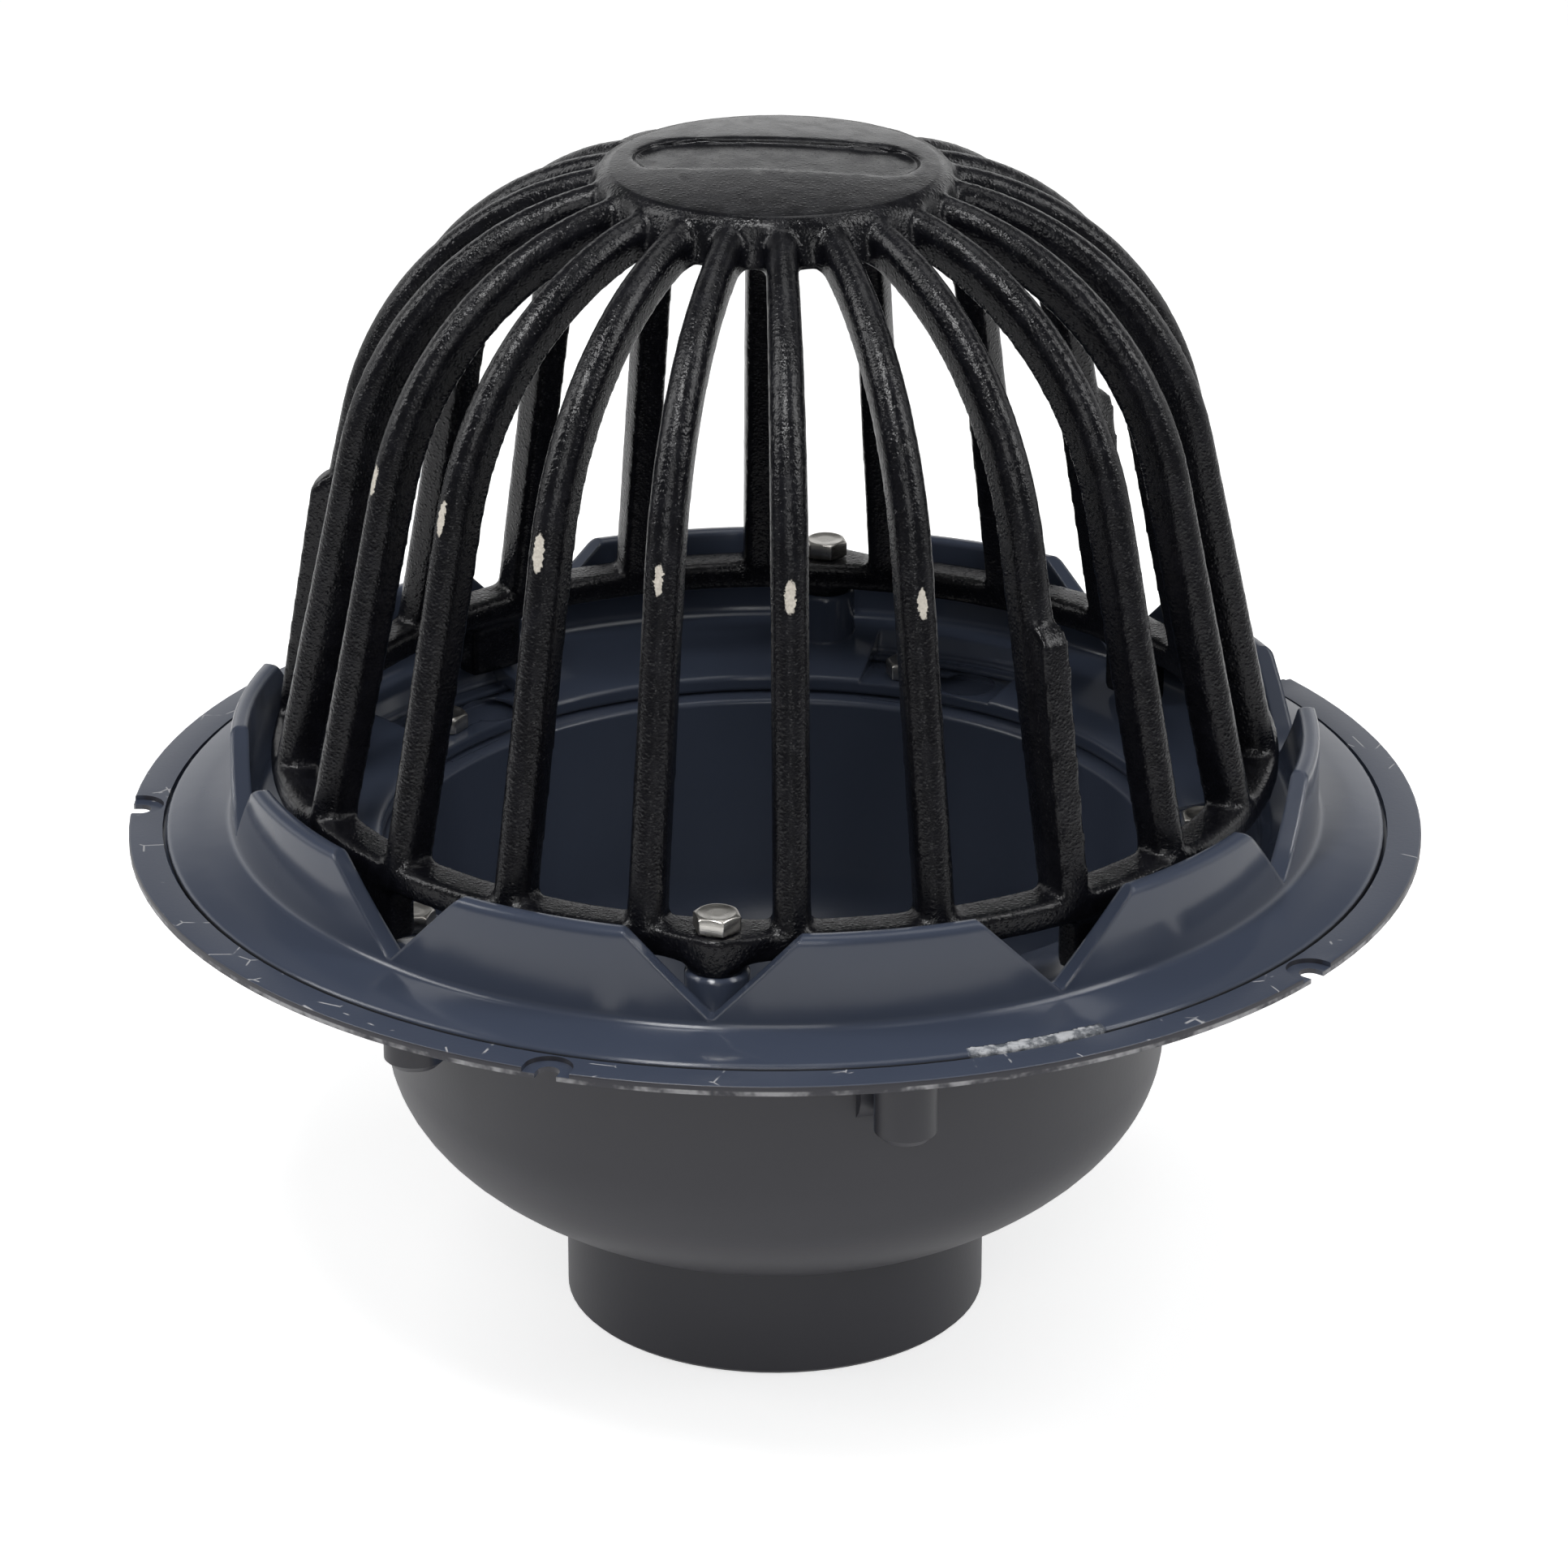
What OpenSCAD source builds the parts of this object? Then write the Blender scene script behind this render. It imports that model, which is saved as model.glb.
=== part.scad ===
// Flat roof drain: a moulded sump body with an integral flange, a bolted dam collar
// and a cast dome strainer. The origin is the centre of the outlet's lower end, +Z is up,
// and the strainer's front bolt stands at -Y. All sizes are millimetres and degrees.

/* [Overall] */
// Outside diameter of the body's flange
flange_d = 346; // [330:1:400]
// Height from the outlet's lower end to the top of the flange
flange_h = 141; // [130:1:180]
// Height of the strainer's top above the top of the flange
dome_h = 183.5; // [165:0.5:230]

/* [Drain body] */
// Thickness of the flange's flat rim
flange_t = 2.6; // [2:0.1:4]
// Width of the flat rim outside the collar's seat
rim_w = 9; // [7:0.5:11]
// Drop from the rim's top to the outer edge of the collar's seat
seat_step = 2.4; // [1.5:0.1:3]
// Fall of the seat from its outer edge to the sump
seat_fall = 7.2; // [4:0.1:10]
// Inside diameter of the sump at its mouth
sump_d = 202; // [190:1:215]
// Wall thickness of the sump and of the dished seat
body_wall = 4.6; // [3.5:0.1:6]
// Height above the outlet's end at which the sump starts to close in
belly_h = 78.4; // [70:0.2:84]
// Horizontal half axis of the sump's rounded bottom
belly_a = 143; // [120:1:170]
// Outside diameter of the outlet spigot
outlet_d = 114.3; // [100:0.1:125]
// Wall thickness of the outlet spigot
outlet_wall = 6; // [4:0.1:8]
// Length of the outlet spigot below the sump
outlet_len = 30.5; // [20:0.5:40]

/* [Screw points] */
// Number of clamp bolts, and of screw notches in the rim
clamp_count = 5; // [3:1:6]
// Angle of the first clamp bolt from the strainer's front bolt
clamp_az = 23.2; // [20:0.2:26]
// Distance of the clamp bolts outside the sump's mouth
clamp_out = 14; // [13:0.5:16]
// Diameter of the bosses under the flange
boss_d = 16.4; // [15:0.2:20]
// Depth of the bosses below the top of the flange
boss_drop = 44; // [36:1:50]
// Width of the screw notches through the rim
notch_w = 5.8; // [4:0.1:7]
// Width of the counterbore round each screw notch
notch_head_w = 12.6; // [10:0.2:14]

/* [Dam collar] */
// Gap between the collar's edge and the step of its seat
collar_gap = 1; // [0.5:0.1:2]
// Distance of the collar's inner edge outside the sump's mouth
collar_lap = 4.5; // [3:0.5:6]
// Thickness of the collar's inner lip
collar_t = 3.9; // [3:0.1:5]
// Width of the collar's shelf outside the dam
shelf_w = 17.5; // [14:0.5:20]
// Height of the dam's teeth above the top of the flange
dam_h = 27; // [20:0.5:40]
// Wall thickness of the dam
dam_wall = 5.4; // [4:0.1:7]
// Clearance between the strainer's base ring and the dam
dam_gap = 5.6; // [3:0.1:9]
// Number of teeth round the dam
tooth_count = 10; // [8:1:12]
// Width of a tooth's top
tooth_top_w = 42; // [30:0.5:48]
// Height of the bottom of the V notches above the top of the flange
vee_floor = 4.8; // [4:0.1:10]

/* [Dome strainer] */
// Height of the base ring's top above the top of the flange
ring_top = 23.3; // [20:0.1:30]
// Radial width of the base ring
ring_w = 12; // [10:0.2:16]
// Thickness of the base ring
ring_t = 7.6; // [6:0.1:10]
// Number of ribs
rib_count = 22; // [18:2:24]
// Width of a rib
rib_w = 9.8; // [7:0.1:11]
// Radial depth of a rib
rib_depth = 11.3; // [9:0.1:14]
// Lean of the ribs' straight lower part from the vertical
rib_lean = 12.3; // [6:0.1:16]
// Outside radius of the ribs' bend
bend_r = 88; // [70:1:90]
// Diameter of the cap disc
cap_d = 93; // [85:1:105]
// Thickness of the cap disc at its rim
cap_t = 12.5; // [11:0.5:18]
// Rise of the cap's crown above its rim
cap_crown = 3; // [2:0.5:8]
// Length of the blank recess in the cap
plate_l = 74.6; // [60:0.2:80]
// Width of the blank recess in the cap
plate_w = 25; // [15:0.5:30]
// Depth of the blank recess in the cap
plate_depth = 1.8; // [0.8:0.1:3]

/* [Fasteners] */
// Thread diameter of the bolts
bolt_d = 6.35; // [5:0.05:8]
// Width across the flats of the bolt heads
bolt_af = 11.1; // [8:0.1:13]
// Height of the bolt heads
head_h = 4.8; // [3.5:0.1:5.5]
// Length of the strainer bolts under the head
dome_bolt_l = 22; // [20:1:24]
// Length of the clamp bolts under the head
clamp_bolt_l = 25; // [20:1:28]
// Outside diameter of the threaded inserts
insert_d = 9; // [8.6:0.1:11]
// Length of the threaded inserts
insert_l = 11; // [8:0.5:11]

/* [Hidden] */
$fn = 96;
// reach of a cut that runs right through
big = 400;
// running clearance of a bolt in a hole, of a bolt head in a keyhole, and of a piece in its pocket
bolt_play = 0.9;
head_play = 3.4;
fit_play = 0.06;
// depth of a bolt hole past the bolt's tip
hole_run = 3;
// depth of an insert's top below the face around it
insert_sunk = 0.6;
post_insert_sunk = 0.3;

// Points along an arc of radius r about [x, z].
function arc(x, z, r, from, to, steps = 5) =
    [for (i = [0 : steps])
        let (t = from + (to - from) * i / steps) [x + r * cos(t), z + r * sin(t)]];

// ---- heights, measured from the outlet's lower end ----
rim_z = flange_h;
seat_r = flange_d / 2 - rim_w;
sump_r = sump_d / 2;
outlet_r = outlet_d / 2;
bore_r = outlet_r - outlet_wall;
seat_out_z = rim_z - seat_step;
seat_in_z = seat_out_z - seat_fall;
function seat_z(r) = seat_in_z + seat_fall * (r - sump_r) / (seat_r - sump_r);

// ---- sump: a quarter ellipse that runs from the belly down to the outlet ----
belly_r = sump_r + body_wall;
belly_end = acos(1 - (belly_r - outlet_r) / belly_a);
belly_b = (belly_h - outlet_len) / sin(belly_end);
inner_a = belly_a - body_wall;
inner_b = belly_b - body_wall;
inner_end = acos(1 - (sump_r - bore_r) / inner_a);
arc_steps = 14;
function belly_arc(r, a, b, end) =
    [for (i = [0 : arc_steps])
        let (t = end * i / arc_steps) [r - a + a * cos(t), belly_h - b * sin(t)]];
function backwards(list) = [for (i = [len(list) - 1 : -1 : 0]) list[i]];

// ---- flange and bosses ----
rim_edge = 0.5;
mouth_edge = 1.6;
underside_run = 6;
boss_tip = 2;
boss_bury = 1;
// gusset that ties a boss to the sump's wall
gusset_w = boss_d * 1.24;
gusset_step = 4;
notch_depth = 1.3;
notch_r = flange_d / 2 - 2.2;

// ---- clamp bolts ----
clamp_r = sump_r + clamp_out;
insert_z = seat_z(clamp_r) - insert_sunk;
clamp_step = 360 / clamp_count;
function clamp_angle(i) = clamp_az + (i - 1) * clamp_step;
// angle between a clamp bolt and the entry hole of its keyhole slot
entry_turn = 9;
entry_d = bolt_af / cos(30) + head_play;
slot_w = bolt_d + bolt_play;

// ---- dam collar ----
collar_r = seat_r - collar_gap;
collar_in_r = sump_r + collar_lap;
dam_out_r = collar_r - shelf_w;
dam_in_r = dam_out_r - dam_wall;
// the deck inside the dam rises outwards
deck_in_z = rim_z - 4.2;
deck_out_z = rim_z + 1.3;
deck_fillet = 3;
deck_out_r = dam_in_r - deck_fillet;
deck_slope = atan((deck_out_z - deck_in_z) / (deck_out_r - collar_in_r));
function deck_z(r) = deck_in_z + (r - collar_in_r) * tan(deck_slope);
deck_edge = 1.2;
// the shelf outside the dam falls outwards
shelf_in_z = rim_z + 2.66;
shelf_slope = 6.4;
function shelf_z(r) = shelf_in_z - (r - dam_out_r) * tan(shelf_slope);
shelf_fillet = 1.8;
shelf_edge = 1.1;
// pocket round a clamp bolt: its floor, its back wall and how far it runs each way round
pocket_z = rim_z - 5;
pocket_wall = 3;
pocket_r = min(clamp_r + 15, deck_out_r - 7);
pocket_back = 15.5;
pocket_front = 6;
dam_top_z = rim_z + dam_h;
// rounding and draft of the dam's top
dam_edge_in = 1.5;
dam_edge_out = 2.1;
dam_draft_in = 0.2;
dam_draft_out = 0.3;
vee_z = rim_z + vee_floor;
tooth_step = 360 / tooth_count;
// half the opening of a V notch at the height of the tooth tops
vee_half_w = dam_in_r * sin(tooth_step / 2) - tooth_top_w / 2;
vee_tip = 0.8;
// the bead under the collar that clamps on a flat land of the seat
land_r = sump_r + 27;
land_w = 5;
bead_w = 2;
land_z = seat_z(land_r);

// ---- strainer ----
ring_z = rim_z + ring_top;
ring_r = dam_in_r - dam_gap;
ring_in_r = ring_r - ring_w;
ring_edge = 1.6;
foot_r = ring_r - 0.5;
// ears that stand on the collar's posts
ear_r = foot_r - 2.5;
ear_d = 15.6;
ear_drop = 10.3;
ear_half_w = 17;
post_z = ring_z - ear_drop;
post_d = 16.6;
post_edge = 0.8;
cap_z = rim_z + dome_h - cap_crown;
cap_r = cap_d / 2;
cap_edge = 3;
cap_flare = 0.6;
cap_web = 8;
skirt_w = 8;
crown_end_r = cap_r - cap_edge;
crown_steps = 8;
function crown_z(r) = cap_z + cap_crown * (1 - pow(r / cap_r, 2));
function crown_line(drop, last) =
    [for (i = [0 : last]) let (r = crown_end_r * i / crown_steps) [r, crown_z(r) - drop]];
plate_shift = 3;
// a rib leans in from the ring, bends over and ends inside the cap
bend_z = cap_z - bend_r;
bend_c = foot_r - (bend_r + sin(rib_lean) * (bend_z - ring_z)) / cos(rib_lean);
rib_in_r = cap_r - 5.4;
bend_end = bend_c < rib_in_r ? acos((rib_in_r - bend_c) / bend_r) : 90;
bend_start_z = bend_z + bend_r * sin(rib_lean);
rib_sunk = 0.6;
rib_straight = (bend_start_z - ring_z + rib_sunk) / cos(rib_lean);
rib_step = 360 / rib_count;
rib_draft = 0.4;
leg_angles = [45, 135, 225, 315];
leg_w = 17;
leg_depth = 8.5;
leg_gap = 0.3;
pad_ribs = [2, 8, 16];
pad_h = 68;
pad_out = 3.6;

// Places a child, drawn with +X pointing outwards, at an angle from the front and a radius.
module around(angle, radius = 0) {
    rotate([0, 0, angle - 90]) translate([radius, 0, 0]) children();
}

// ---- drain body ----

module body_shell() {
    rotate_extrude() polygon(concat(
        [[bore_r, 0], [outlet_r - 1, 0], [outlet_r, 1]],
        backwards(belly_arc(belly_r, belly_a, belly_b, belly_end)),
        [[belly_r, seat_in_z - body_wall - underside_run / 2],
         [belly_r + underside_run / 2, seat_z(belly_r + underside_run / 2) - body_wall],
         [seat_r - underside_run, seat_z(seat_r - underside_run) - body_wall],
         [seat_r + underside_run / 2, rim_z - flange_t],
         [flange_d / 2, rim_z - flange_t]],
        arc(flange_d / 2 - rim_edge, rim_z - rim_edge, rim_edge, 0, 90, 3),
        [[seat_r, rim_z],
         [seat_r, seat_out_z],
         [land_r + land_w, seat_z(land_r + land_w)],
         [land_r + land_w, land_z],
         [land_r - land_w, land_z],
         [land_r - land_w, seat_z(land_r - land_w)]],
        arc(sump_r + mouth_edge, seat_z(sump_r + mouth_edge) - mouth_edge, mouth_edge, 90, 180),
        belly_arc(sump_r, inner_a, inner_b, inner_end)));
}

module body_boss(angle) {
    boss_z = rim_z - boss_drop;
    boss_top = seat_z(clamp_r) - boss_bury;
    boss_in_r = clamp_r - boss_d / 2;
    around(angle, clamp_r) {
        translate([0, 0, boss_z + boss_tip]) cylinder(d = boss_d, h = boss_top - boss_z - boss_tip);
        translate([0, 0, boss_z]) cylinder(d1 = boss_d - 2 * boss_tip, d2 = boss_d, h = boss_tip);
    }
    around(angle) translate([0, gusset_w / 2, 0]) rotate([90, 0, 0]) linear_extrude(gusset_w)
        polygon([
            [belly_r - 1.5, boss_top], [belly_r - 1.5, boss_z + 1],
            [boss_in_r + 1, boss_z + 1 + gusset_step],
            [boss_in_r + 2.4, boss_z + 1 + 2 * gusset_step], [boss_in_r + 2.4, boss_top]]);
}

// A slot from a round end out past the rim.
module rim_slot(width, height) {
    cylinder(d = width, h = height);
    translate([0, -width / 2, 0]) cube([big, width, height]);
}

module rim_notch(angle) {
    around(angle, notch_r) {
        translate([0, 0, rim_z - big]) rim_slot(notch_w, 2 * big);
        translate([0, 0, rim_z - notch_depth]) rim_slot(notch_head_w, big);
    }
}

module drain_body() {
    color("#3f4247") difference() {
        union() {
            body_shell();
            for (i = [1 : clamp_count]) body_boss(clamp_angle(i));
        }
        for (i = [1 : clamp_count]) {
            around(clamp_angle(i), clamp_r) {
                translate([0, 0, insert_z - insert_l - fit_play])
                    cylinder(d = insert_d + 2 * fit_play, h = big);
                translate([0, 0, pocket_z - clamp_bolt_l - hole_run])
                    cylinder(d = slot_w, h = big);
            }
            rim_notch(clamp_angle(i) + clamp_step / 2);
        }
    }
}

// ---- dam collar ----

module collar_ring() {
    inner_top_r = dam_in_r + dam_draft_in + dam_edge_in;
    outer_top_r = dam_out_r - dam_draft_out - dam_edge_out;
    rotate_extrude() polygon(concat(
        arc(collar_in_r + deck_edge, deck_z(collar_in_r + deck_edge) - deck_edge / cos(deck_slope),
            deck_edge, 180, 90 + deck_slope, 3),
        arc(deck_out_r, deck_out_z + deck_fillet / cos(deck_slope),
            deck_fillet, 270 + deck_slope, 360, 4),
        arc(inner_top_r, dam_top_z - dam_edge_in, dam_edge_in, 180, 90, 4),
        arc(outer_top_r, dam_top_z - dam_edge_out, dam_edge_out, 90, 0),
        arc(dam_out_r + shelf_fillet, shelf_z(dam_out_r + shelf_fillet) + shelf_fillet / cos(shelf_slope),
            shelf_fillet, 180, 270 - shelf_slope, 4),
        arc(collar_r - shelf_edge, shelf_z(collar_r - shelf_edge) - shelf_edge / cos(shelf_slope),
            shelf_edge, 90 - shelf_slope, 0, 3),
        [[collar_r, rim_z - 1.3],
         [dam_out_r + 2, rim_z - 2.6],
         [deck_out_r, deck_out_z - collar_t - 1],
         [land_r + bead_w, deck_z(land_r + bead_w) - collar_t],
         [land_r + bead_w, land_z],
         [land_r - bead_w, land_z],
         [land_r - bead_w, deck_z(land_r - bead_w) - collar_t],
         [collar_in_r, deck_in_z - collar_t]]));
}

module dam_vee() {
    // the V runs on past both faces of the dam and above the tooth tops, so that it cuts cleanly
    over = 6;
    slope = vee_half_w / (dam_top_z - vee_z);
    translate([dam_in_r - over, 0, 0]) rotate([90, 0, 90]) linear_extrude(dam_wall + 2 * over)
        polygon([
            [-vee_half_w - over * slope, dam_top_z + over],
            [-vee_tip, vee_z + vee_tip / 3], [0, vee_z], [vee_tip, vee_z + vee_tip / 3],
            [vee_half_w + over * slope, dam_top_z + over]]);
}

module bolt_pocket() {
    over = 5;
    rotate([0, 0, -pocket_back]) rotate_extrude(angle = pocket_back + pocket_front)
        polygon([
            [collar_in_r - over, pocket_z], [pocket_r, pocket_z],
            [pocket_r + pocket_wall, deck_z(pocket_r + pocket_wall)],
            [pocket_r + pocket_wall, deck_out_z + over], [collar_in_r - over, deck_out_z + over]]);
}

module keyhole_slot() {
    translate([0, 0, rim_z - big / 2]) {
        rotate([0, 0, -entry_turn]) {
            translate([clamp_r, 0, 0]) cylinder(d = entry_d, h = big);
            rotate_extrude(angle = entry_turn) translate([clamp_r - slot_w / 2, 0]) square([slot_w, big]);
        }
        translate([clamp_r, 0, 0]) cylinder(d = slot_w, h = big);
    }
}

module collar_post() {
    foot_z = deck_in_z;
    translate([0, 0, foot_z]) cylinder(d = post_d, h = post_z - post_edge - foot_z);
    translate([0, 0, post_z - post_edge]) cylinder(d1 = post_d, d2 = post_d - 2 * post_edge, h = post_edge);
}

module dam_collar() {
    color("#3d4653") difference() {
        union() {
            difference() {
                collar_ring();
                for (i = [1 : tooth_count]) around(i * tooth_step) dam_vee();
                for (i = [1 : clamp_count]) around(clamp_angle(i)) {
                    bolt_pocket();
                    keyhole_slot();
                }
            }
            for (side = [0, 180]) around(side, ear_r) collar_post();
        }
        for (side = [0, 180]) around(side, ear_r) {
            translate([0, 0, post_z - post_insert_sunk - insert_l - fit_play])
                cylinder(d = insert_d + 2 * fit_play, h = big);
            translate([0, 0, ring_z - dome_bolt_l - 1]) cylinder(d = slot_w, h = big);
        }
    }
}

// ---- dome strainer ----

// Section of a rib, with its outermost line on the Y axis and its depth along -X.
module rib_section() {
    nose = rib_w / 2;
    back = nose - rib_draft;
    union() {
        translate([-nose, 0]) circle(r = nose, $fn = 48);
        polygon([
            [-nose, -nose], [-nose, nose], [1 - rib_depth, back], [-rib_depth, back - 1],
            [-rib_depth, 1 - back], [1 - rib_depth, -back]]);
    }
}

module rib() {
    translate([bend_c, 0, bend_z]) {
        rotate([90, 0, 0]) rotate([0, 0, rib_lean])
            rotate_extrude(angle = bend_end - rib_lean) translate([bend_r, 0]) rib_section();
        rotate([0, -rib_lean, 0]) translate([bend_r, 0, -rib_straight])
            linear_extrude(rib_straight) rib_section();
        // level run to the cap, where the cap is smaller than the bend
        if (bend_c > rib_in_r)
            rotate([0, -90, 0]) translate([bend_r, 0, 0]) linear_extrude(bend_c - rib_in_r) rib_section();
    }
}

module base_ring() {
    rotate_extrude() polygon(concat(
        [[ring_in_r, ring_z - 1.2], [ring_in_r + 1.2, ring_z]],
        arc(ring_r - ring_edge, ring_z - ring_edge, ring_edge, 90, 0, 3),
        [[ring_r, ring_z - ring_t + 1], [ring_r - 1, ring_z - ring_t],
         [ring_in_r + 1, ring_z - ring_t], [ring_in_r, ring_z - ring_t + 1]]));
}

module cap_body() {
    skirt_z = cap_z - cap_t;
    skirt_in_r = cap_r - skirt_w;
    rotate_extrude() polygon(concat(
        [[0, cap_z - cap_web]],
        crown_line(0, crown_steps - 1),
        arc(crown_end_r, crown_z(crown_end_r) - cap_edge, cap_edge, 90, 0),
        [[cap_r + cap_flare, skirt_z + 1], [cap_r + cap_flare - 1, skirt_z],
         [skirt_in_r + 1.5, skirt_z], [skirt_in_r, cap_z - cap_web]]));
}

// Blank recess, whose floor follows the crown.
module cap_recess() {
    half = (plate_l - plate_w) / 2;
    difference() {
        translate([0, plate_shift, cap_z - cap_web]) linear_extrude(big) {
            square([2 * half, plate_w], center = true);
            for (side = [-1, 1]) translate([side * half, 0]) circle(d = plate_w);
        }
        rotate_extrude() polygon(concat(
            [[0, cap_z - cap_web - 1]],
            crown_line(plate_depth, crown_steps),
            [[crown_end_r, cap_z - cap_web - 1]]));
    }
}

module cap() {
    difference() {
        cap_body();
        cap_recess();
    }
}

module ear() {
    around(0, ear_r) translate([0, 0, post_z]) cylinder(d = ear_d, h = ear_drop);
    around(0) translate([ring_in_r + 2, 0, ring_z - ring_t])
        linear_extrude(ring_t - 0.2) polygon([
            [0, -ear_half_w], [ring_w - 2.8, -ear_half_w + 3], [ring_w + 1, -6],
            [ring_w + 1, 6], [ring_w - 2.8, ear_half_w - 3], [0, ear_half_w]]);
}

module leg() {
    leg_top = ring_z - ring_t + 1;
    leg_out_r = ring_r - 1.5;
    leg_z = deck_z(leg_out_r) + leg_gap;
    translate([leg_out_r - leg_depth, -leg_w / 2, leg_z]) cube([leg_depth, leg_w, leg_top - leg_z]);
}

// Raised pad on the outer face of a rib.
module rib_pad() {
    function rib_out(h) = foot_r - h * tan(rib_lean);
    pad_w = rib_w - 1.8;
    rotate([90, 0, 0]) translate([0, 0, 0.6 - rib_w / 2]) linear_extrude(pad_w)
        polygon([
            [foot_r - 6, ring_z - 1], [foot_r + 0.3, ring_z - 1],
            [rib_out(pad_h - 3) + pad_out, ring_z + pad_h - 3],
            [rib_out(pad_h) + pad_out - 2.5, ring_z + pad_h],
            [rib_out(pad_h) - 6, ring_z + pad_h]]);
}

module dome_strainer() {
    color("#16161a") difference() {
        union() {
            base_ring();
            cap();
            for (i = [0 : rib_count - 1]) around((i + 0.5) * rib_step) rib();
            for (i = pad_ribs) around((i + 0.5) * rib_step) rib_pad();
            for (side = [0, 180]) rotate([0, 0, side]) ear();
            for (a = leg_angles) around(a) leg();
        }
        for (side = [0, 180]) around(side, ear_r) cylinder(d = slot_w, h = ring_z + head_h);
    }
}

// ---- fasteners ----

module hex_bolt(length) {
    tip = 0.8;
    corner = bolt_af / cos(30);
    color("#c9c7c0") union() {
        intersection() {
            cylinder(d = corner, h = head_h, $fn = 6);
            // washer-side bearing face and chamfered corners
            cylinder(r1 = bolt_af, r2 = bolt_af / 2 - 0.15, h = head_h + 0.9);
        }
        translate([0, 0, tip - length]) cylinder(d = bolt_d, h = length);
        translate([0, 0, -length]) cylinder(d1 = bolt_d - 2 * tip, d2 = bolt_d, h = tip);
    }
}

module insert() {
    color("#b5924c") difference() {
        cylinder(d = insert_d, h = insert_l);
        translate([0, 0, -1]) cylinder(d = bolt_d + 2 * fit_play, h = insert_l + 2);
    }
}

module dome_bolt(side) around(side, ear_r) translate([0, 0, ring_z]) hex_bolt(dome_bolt_l);
module post_insert(side) around(side, ear_r)
    translate([0, 0, post_z - post_insert_sunk - insert_l]) insert();
module clamp_bolt(i) around(clamp_angle(i), clamp_r) translate([0, 0, pocket_z]) hex_bolt(clamp_bolt_l);
module clamp_insert(i) around(clamp_angle(i), clamp_r) translate([0, 0, insert_z - insert_l]) insert();

drain_body();
dam_collar();
dome_strainer();
dome_bolt(0);  // dome_bolt_front
dome_bolt(180);  // dome_bolt_rear
post_insert(0);  // post_insert_front
post_insert(180);  // post_insert_rear
for (i = [1 : clamp_count]) clamp_bolt(i);
for (i = [1 : clamp_count]) clamp_insert(i);
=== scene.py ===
"""Finishes a flat roof drain: its castings, mouldings and fasteners, and a small studio."""

import math

import bmesh
import bpy
from bpy.props import FloatProperty, FloatVectorProperty, IntProperty, PointerProperty
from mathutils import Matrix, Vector


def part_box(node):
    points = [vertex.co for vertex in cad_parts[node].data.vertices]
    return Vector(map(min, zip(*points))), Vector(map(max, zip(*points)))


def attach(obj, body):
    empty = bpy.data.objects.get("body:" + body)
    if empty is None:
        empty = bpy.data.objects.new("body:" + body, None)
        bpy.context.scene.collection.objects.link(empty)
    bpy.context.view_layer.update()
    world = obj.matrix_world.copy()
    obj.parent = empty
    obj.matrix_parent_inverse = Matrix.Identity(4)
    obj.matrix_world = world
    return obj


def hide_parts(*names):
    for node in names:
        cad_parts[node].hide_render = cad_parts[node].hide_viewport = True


bl_info = {
    "name": "Flat roof drain",
    "version": (1, 0, 0),
    "blender": (4, 5, 0),
    "location": "View3D > Sidebar > Drain",
    "description": "Finishes the mouldings, the casting and the fasteners of a flat roof drain",
    "category": "Object",
}

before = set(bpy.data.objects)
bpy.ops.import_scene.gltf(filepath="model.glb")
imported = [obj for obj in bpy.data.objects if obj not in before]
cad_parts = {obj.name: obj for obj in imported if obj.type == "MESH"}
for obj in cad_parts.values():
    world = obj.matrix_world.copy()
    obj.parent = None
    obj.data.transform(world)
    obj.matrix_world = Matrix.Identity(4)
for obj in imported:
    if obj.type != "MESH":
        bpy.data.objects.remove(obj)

MM = 0.001
BODY = "root"

FLANGE_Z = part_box("drain_body")[1].z
COLLAR_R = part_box("dam_collar")[1].x
DOME_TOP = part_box("dome_strainer")[1].z
RIB_COUNT = 22
CLAMP_COUNT = 5
# the flange's flat rim outside the collar's seat: its thickness, and where it starts and ends
RIM_T = 2.6 * MM
RIM_IN_R, RIM_OUT_R = 164 * MM, 173 * MM
# radius of the strainer's cap
CAP_R = 46.5 * MM
# length and width of the blank recess in the cap, and how far it lies behind the middle
PLATE_LENGTH, PLATE_WIDTH, PLATE_SHIFT = 74.6 * MM, 25 * MM, 3 * MM
# width of a rib, the distances from the axis between which it narrows, and how far above the
# flange that starts
RIB_WIDTH = 9.8 * MM
TAPER_IN, TAPER_OUT = 47 * MM, 114 * MM
TAPER_RISE = 40 * MM
# how far above the flange the first chip on the ribs lies, in millimetres
CHIP_RISE = 113
# where the collar's edge was trimmed, in radians from the front
GATE_SPAN = math.radians(23.6), math.radians(36.6)
# edges between faces that turn more than this stay sharp
SHARP_DEGREES = 32
# radius over which the shading rolls round the collar's edges
EDGE_ROLL = 1.3 * MM


def centre_of(node):
    """The middle of a CAD node's box."""
    low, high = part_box(node)
    return (low + high) / 2


def azimuth(point):
    """Angle of a point from -Y towards +X."""
    return math.atan2(point.x, -point.y)


def outward(angle):
    """The level direction that points away from the axis at an angle from -Y."""
    return Vector((math.sin(angle), -math.cos(angle), 0))


# ---------------------------------------------------------------- node trees

class Value:
    """A number that a socket gives. Arithmetic on it adds Math nodes to its tree."""

    def __init__(self, tree, socket):
        self.tree = tree
        self.socket = socket

    def __add__(self, other):
        return self.tree.math("ADD", self, other)

    def __sub__(self, other):
        return self.tree.math("SUBTRACT", self, other)

    def __rsub__(self, other):
        return self.tree.math("SUBTRACT", other, self)

    def __mul__(self, other):
        return self.tree.math("MULTIPLY", self, other)

    def __truediv__(self, other):
        return self.tree.math("DIVIDE", self, other)

    __radd__ = __add__
    __rmul__ = __mul__


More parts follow.
